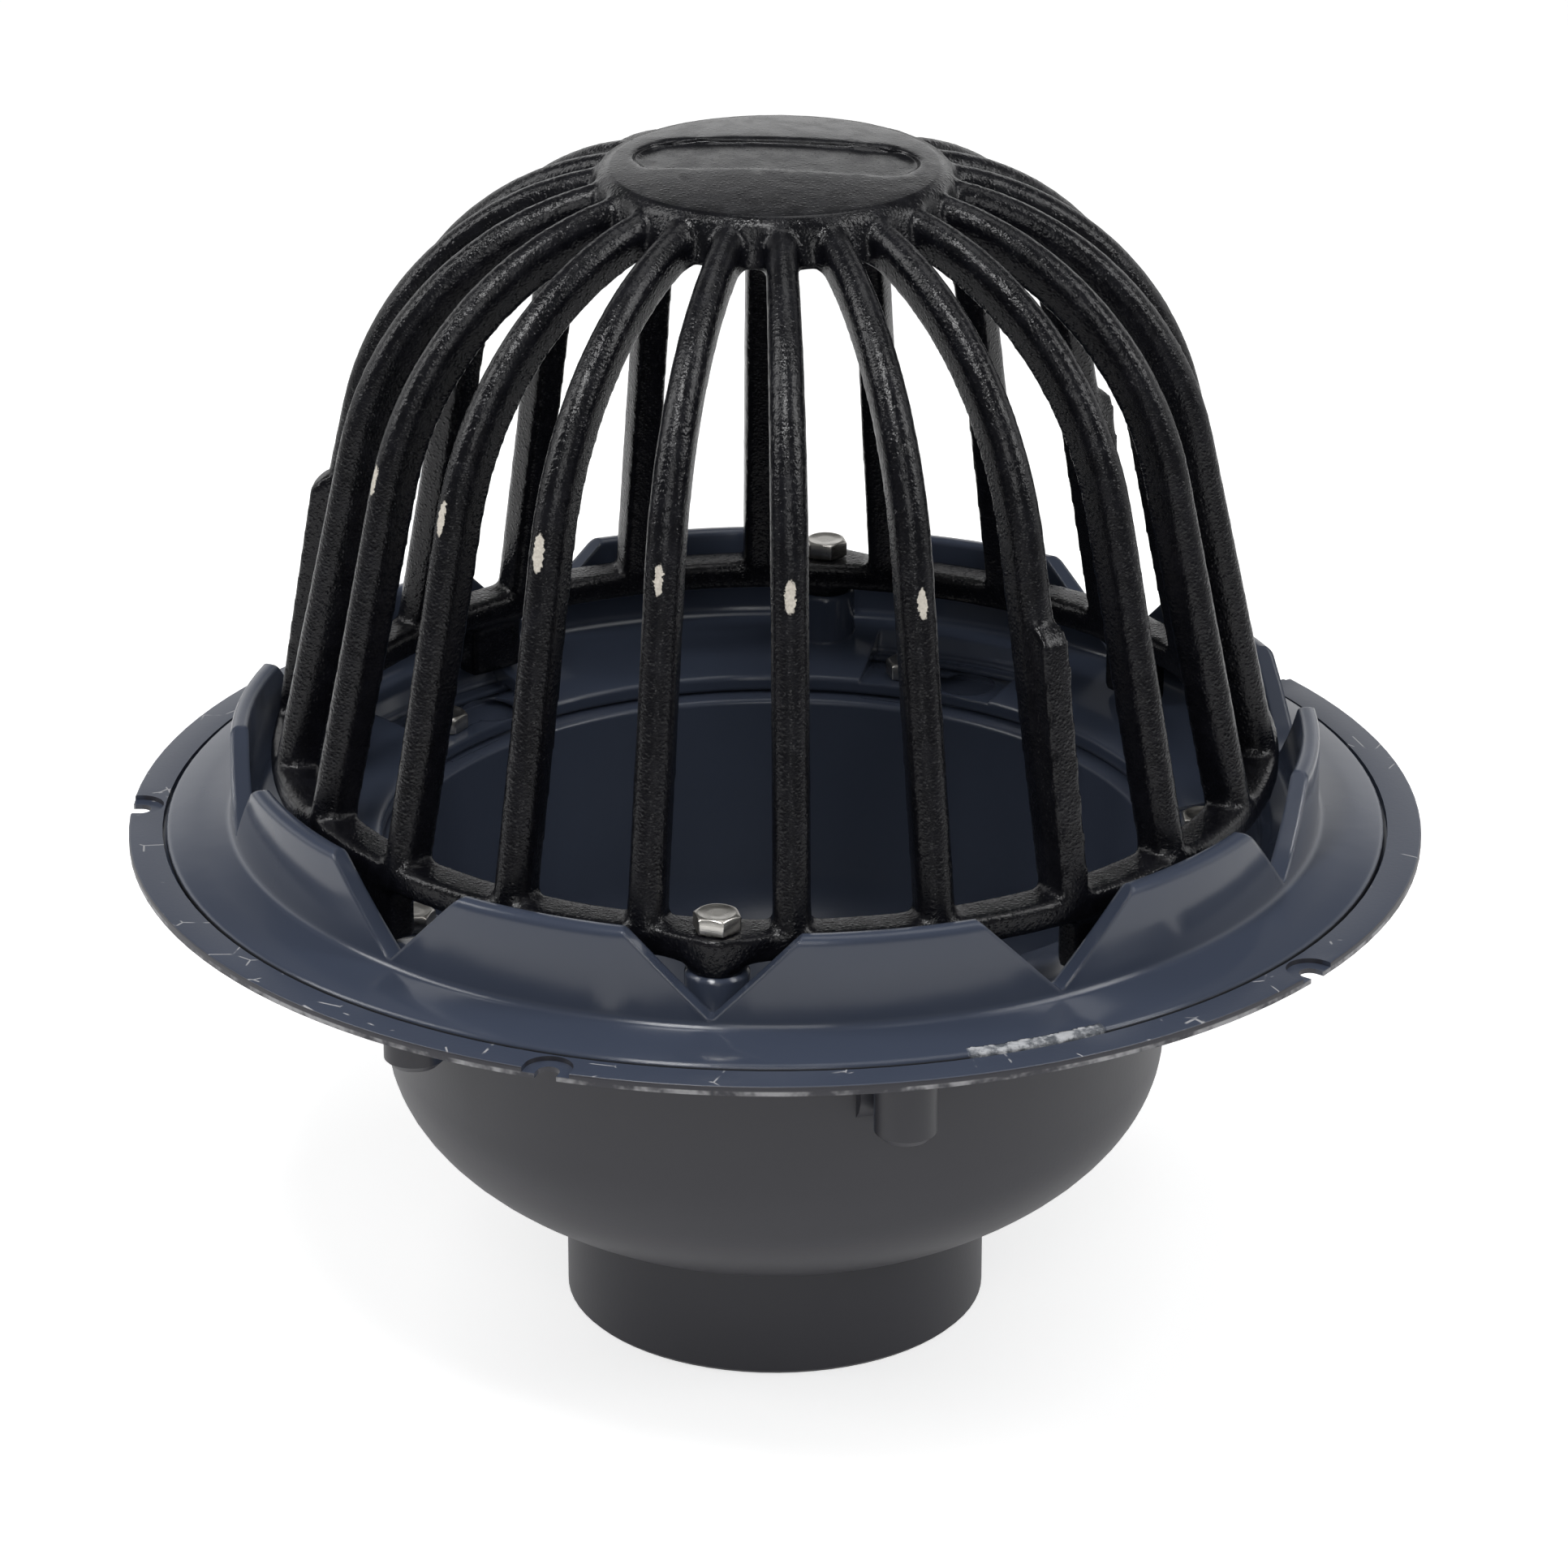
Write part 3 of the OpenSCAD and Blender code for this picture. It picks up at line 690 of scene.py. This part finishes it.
class DRAIN_OT_strainer(DrainOperator, bpy.types.Operator):
    """Cast the strainer, with soft corners, a sandy skin and knocked ribs"""

    bl_idname = "drain.strainer"
    bl_label = "Dome strainer"

    def chips(self, sizes):
        """Place, angle and half sizes of each chip, on neighbouring ribs round the front."""
        step = math.tau / RIB_COUNT
        half_sizes = ((1.3, 4.6), (1.4, 5.2), (1.7, 5.6), (1.3, 4.6), (1.5, 4.6), (1.3, 4.4))
        found = []
        for i in range(sizes.chip_count):
            # the row starts left of the front and sinks faster and faster to the right
            angle = (i - 3.5) * step
            height = FLANGE_Z + (CHIP_RISE - 0.42 * i * i) * MM
            radius = self.rib_face(height)
            half_w, half_h = half_sizes[i % len(half_sizes)]
            place = outward(angle) * radius + Vector((0, 0, height))
            found.append((place, angle, half_w * MM, half_h * MM))
        return found

    def rib_face(self, height):
        """Distance of the ribs' outer line from the axis at a height, measured on the casting."""
        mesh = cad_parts["dome_strainer"].data
        reach = 0
        for edge in mesh.edges:
            low, high = sorted((mesh.vertices[i].co for i in edge.vertices), key=lambda co: co.z)
            if low.z < height < high.z:
                crossing = low.lerp(high, (height - low.z) / (high.z - low.z))
                reach = max(reach, crossing.xy.length)
        return reach

    def tapered(self, mesh, share):
        """Narrows the ribs towards the cap, and leaves rings about the axis as they are."""
        step = math.tau / RIB_COUNT
        half_w = RIB_WIDTH / 2
        for vertex in mesh.vertices:
            radius = vertex.co.xy.length
            if vertex.co.z < FLANGE_Z + TAPER_RISE or radius < 1 * MM:
                continue
            way_out = (radius - TAPER_IN) / (TAPER_OUT - TAPER_IN)
            factor = share + (1 - share) * min(1, max(0, way_out))
            angle = azimuth(vertex.co)
            middle = (math.floor(angle / step) + 0.5) * step
            half_pitch = radius * step / 2
            side = (angle - middle) * radius
            if abs(side) <= half_w:
                moved = side * factor
            else:
                beyond = (abs(side) - half_w) / max(half_pitch - half_w, 1e-6)
                narrow = half_w * factor
                moved = math.copysign(narrow + beyond * (half_pitch - narrow), side)
            vertex.co.xy = outward(middle + moved / radius).xy * radius

    def web(self):
        """Profile of the skirt under the cap's edge, which flares down to the windows."""
        profile = ((44, 3.6), (46.4, 5), (47.3, 8), (48.4, 12), (50, 15), (44, 15.4))
        return [(radius * MM, DOME_TOP - drop * MM) for radius, drop in profile]

    def make(self, sizes, look):
        material = cast_black(look, self.chips(sizes))
        mesh = welded("dome_strainer")
        self.tapered(mesh, sizes.rib_taper)
        lathed(mesh, self.web(), 6 * RIB_COUNT)
        source = bpy.data.objects.new("strainer_source", mesh)
        bpy.context.scene.collection.objects.link(source)
        remesh = source.modifiers.new("grid", "REMESH")
        remesh.mode = "VOXEL"
        remesh.voxel_size = sizes.voxel * MM
        remesh.use_smooth_shade = True
        soften = source.modifiers.new("soften", "SMOOTH")
        soften.factor = 0.5
        soften.iterations = 5
        nodes_modifier(source, cast_skin_tree(), Material=material, Depth=sizes.skin_depth * MM,
                       Scale=sizes.skin_scale)
        casting = thinned(evaluated(source), sizes.casting_faces)
        new_piece("strainer_casting", casting, material, "cast_iron", "dome_strainer")


class DRAIN_OT_bolts(DrainOperator, bpy.types.Operator):
    """Set the strainer's bolts and the collar's clamp bolts"""

    bl_idname = "drain.bolts"
    bl_label = "Bolts"

    def make(self, sizes, look):
        steel = plain_metal("stainless_steel", look.steel_colour, 0.28, 500)
        pair = ["dome_bolt_front", "dome_bolt_rear"]
        bolt_set("strainer_bolts", pair, math.radians(20), steel, sizes)
        clamps = [f"clamp_bolt_{i + 1}" for i in range(CLAMP_COUNT)]
        bolt_set("clamp_bolts", clamps, math.radians(35), steel, sizes)


class DRAIN_OT_inserts(DrainOperator, bpy.types.Operator):
    """Paint the threaded inserts under the bolts"""

    bl_idname = "drain.inserts"
    bl_label = "Inserts"

    def make(self, sizes, look):
        brass = plain_metal("brass", look.brass_colour, 0.32, 400)
        for name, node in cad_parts.items():
            if "insert" in name:
                node.data.materials.clear()
                node.data.materials.append(brass)


class DRAIN_OT_stage(bpy.types.Operator):
    """Set up the floor, the lamps and the camera"""

    bl_idname = "drain.stage"
    bl_label = "Stage"

    def execute(self, context):
        floor = studio_floor()
        studio_world(context.scene)
        for lamp in LAMPS:
            studio_lamp(*lamp)
        studio_camera(context.scene)
        return {"FINISHED"}


# ---------------------------------------------------------------- studio

# the point that the lamps face
TARGET = Vector((0, 0, 0.16))
FLOOR_SIZE = 12.0
# light of the room away from the backdrop, and colour that the floor fades to far from the drain
DIM = 0.14
# name, azimuth and elevation in degrees, distance, width, height, watts
LAMPS = (
    ("key_box", -22, 60, 1.5, 0.26, 0.36, 9.5),
    ("front_fill", 6, 27, 1.5, 0.5, 0.5, 3.0),
    ("left_strip", -82, 36, 1.5, 0.3, 1.1, 8.0),
    ("right_strip", 78, 40, 1.5, 0.3, 1.1, 9.0),
    ("top_box", 150, 76, 1.5, 0.8, 0.6, 3.0),
)


def studio_lamp(name, azimuth_deg, elevation_deg, distance, width, height, watts):
    """A soft box that faces the drain."""
    data = bpy.data.lights.new(name, "AREA")
    data.shape = "RECTANGLE"
    data.size = width
    data.size_y = height
    data.energy = watts
    lamp = bpy.data.objects.new(name, data)
    bpy.context.scene.collection.objects.link(lamp)
    rise = math.radians(elevation_deg)
    away = outward(math.radians(azimuth_deg)) * math.cos(rise) + Vector((0, 0, math.sin(rise)))
    lamp.location = TARGET + away * distance
    lamp.rotation_euler = (-away).to_track_quat("-Z", "Y").to_euler()
    return lamp


def ray_kinds(tree):
    """1 for rays from the camera, and 1 for those that gloss or glass sends on."""
    rays = tree.add("ShaderNodeLightPath").outputs
    sent_on = tree.math("MAXIMUM", rays["Is Glossy Ray"], rays["Is Transmission Ray"])
    return Value(tree, rays["Is Camera Ray"]), sent_on


def studio_world(scene):
    """White to the eye. The drain sees a white backdrop behind it and a dim room elsewhere."""
    world = bpy.data.worlds.new("studio")
    scene.world = world
    world.use_nodes = True
    world.node_tree.nodes.clear()
    tree = Tree(world.node_tree)
    towards = tree.split(tree.add("ShaderNodeTexCoord").outputs["Generated"])
    backdrop = tree.smooth(towards[1], -0.15, 0.3) * (1 - tree.smooth(towards[2], 0.3, 0.48))
    eye, sent_on = ray_kinds(tree)
    # gloss and glass see the backdrop full white, and other rays a little less
    room = backdrop * (sent_on * 0.14 + 0.72) + DIM
    sky = tree.add("ShaderNodeBackground", {}, {
        "Color": (1, 1, 1, 1), "Strength": eye + (1 - eye) * room})
    tree.add("ShaderNodeOutputWorld", {}, {"Surface": sky.outputs[0]})


def studio_floor():
    """A wide pale floor under the outlet that keeps the object's shadow."""
    half = FLOOR_SIZE / 2
    mesh = bpy.data.meshes.new("floor")
    corners = [(-half, -half, 0), (half, -half, 0), (half, half, 0), (-half, half, 0)]
    mesh.from_pydata(corners, [], [(0, 1, 2, 3)])
    floor = bpy.data.objects.new("floor", mesh)
    bpy.context.scene.collection.objects.link(floor)
    material = bpy.data.materials.new("floor_paper")
    material.use_nodes = True
    material.node_tree.nodes.clear()
    tree = Tree(material.node_tree)
    position = tree.add("ShaderNodeTexCoord").outputs["Object"]
    eye, sent_on = ray_kinds(tree)
    near = 1 - tree.smooth(from_axis(tree, position)[0], 0.7, 1.5)
    shade = tree.top_of(eye, near) * 0.7 + DIM
    tone = tree.add("ShaderNodeCombineXYZ", {}, {"X": shade, "Y": shade, "Z": shade}).outputs[0]
    paper = tree.add("ShaderNodeBsdfDiffuse", {}, {"Color": tone})
    glow = tree.top_of(eye, sent_on * 0.48) * 0.62
    lift = tree.add("ShaderNodeEmission", {}, {"Color": (1, 1, 1, 1), "Strength": glow})
    both = tree.add("ShaderNodeAddShader", {}, {0: paper.outputs[0], 1: lift.outputs[0]})
    tree.add("ShaderNodeOutputMaterial", {}, {"Surface": both.outputs[0]})
    mesh.materials.append(material)
    return floor


def studio_camera(scene):
    """A long lens that looks down on the drain, a little to the right of its front bolt."""
    azimuth_deg, pitch_deg = 6.3, 22.93
    level_distance = 1.64073
    above_flange = 0.70145
    data = bpy.data.cameras.new("camera")
    data.sensor_width = 36
    data.lens = 152.47
    data.shift_x = 0.00575
    data.clip_end = 50
    camera = bpy.data.objects.new("camera", data)
    scene.collection.objects.link(camera)
    camera.location = outward(math.radians(azimuth_deg)) * level_distance
    camera.location.z = FLANGE_Z + above_flange
    camera.rotation_euler = (math.radians(90 - pitch_deg), 0, math.radians(azimuth_deg))
    scene.camera = camera


# ---------------------------------------------------------------- add-on

class DRAIN_PT_panel(bpy.types.Panel):
    """Lists the steps that build the drain"""

    bl_idname = "DRAIN_PT_panel"
    bl_label = "Flat roof drain"
    bl_space_type = "VIEW_3D"
    bl_region_type = "UI"
    bl_category = "Drain"

    def draw(self, context):
        column = self.layout.column()
        for settings in (context.scene.drain_sizes, context.scene.drain_look):
            for name in settings.__annotations__:
                column.prop(settings, name)
        for step in STEPS:
            column.operator(step.bl_idname)


STEPS = (
    DRAIN_OT_body, DRAIN_OT_collar, DRAIN_OT_strainer, DRAIN_OT_bolts, DRAIN_OT_inserts,
    DRAIN_OT_stage)
CLASSES = (DrainSizes, DrainLook, *STEPS, DRAIN_PT_panel)


def register():
    for item in CLASSES:
        bpy.utils.register_class(item)
    bpy.types.Scene.drain_sizes = PointerProperty(type=DrainSizes)
    bpy.types.Scene.drain_look = PointerProperty(type=DrainLook)


def unregister():
    del bpy.types.Scene.drain_look
    del bpy.types.Scene.drain_sizes
    for item in reversed(CLASSES):
        bpy.utils.unregister_class(item)


def main():
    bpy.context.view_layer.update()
    register()
    scene = bpy.context.scene
    scene.view_settings.view_transform = "Standard"
    bpy.ops.drain.body()
    bpy.ops.drain.collar()
    bpy.ops.drain.strainer()
    bpy.ops.drain.bolts()
    bpy.ops.drain.inserts()
    bpy.ops.drain.stage()
    bpy.context.view_layer.update()


if __name__ == "__main__":
    main()
